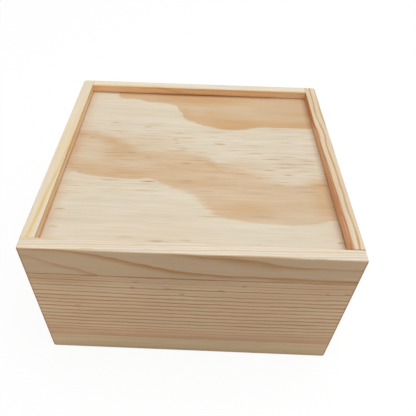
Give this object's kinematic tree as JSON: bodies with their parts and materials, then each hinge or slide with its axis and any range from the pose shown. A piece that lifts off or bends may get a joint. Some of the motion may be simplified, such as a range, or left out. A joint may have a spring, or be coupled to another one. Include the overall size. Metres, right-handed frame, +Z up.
{
  "type": "sliding lid box",
  "caption": "Small square wooden box of thin glued boards with a flat panel lid that slides out to the front in grooves and ends in a rail flush with the rim.",
  "frame": {"origin": "middle of the base, on the plane that the box rests on", "axes": "+X to the right, +Y to the back, +Z up; the lid slides out along -Y"},
  "size_m": [0.15, 0.15, 0.08],
  "materials": {
    "left_side_pine": "planed and sanded, unfinished",
    "right_side_pine": "planed and sanded, unfinished",
    "back_pine": "planed and sanded, unfinished",
    "front_pine": "planed and sanded, unfinished",
    "front_strip_pine": "planed and sanded, unfinished",
    "bottom_pine": "sanded, unfinished",
    "lid_panel_pine": "sanded, unfinished",
    "lid_rail_pine": "planed and sanded, unfinished"
  },
  "bodies": {
    "box": {"left_side_board": "left_side_pine", "right_side_board": "right_side_pine", "back_board": "back_pine", "front_board": "front_pine", "front_board_lower_strip": "front_strip_pine", "bottom_panel": "bottom_pine"},
    "lid": {"lid_panel": "lid_panel_pine", "lid_front_rail": "lid_rail_pine"}
  },
  "joints": [
    {"name": "lid_slide", "type": "slide", "parent": "box", "child": "lid", "axis": [0, -1, 0], "range_m": [0, 0.145]}
  ]
}
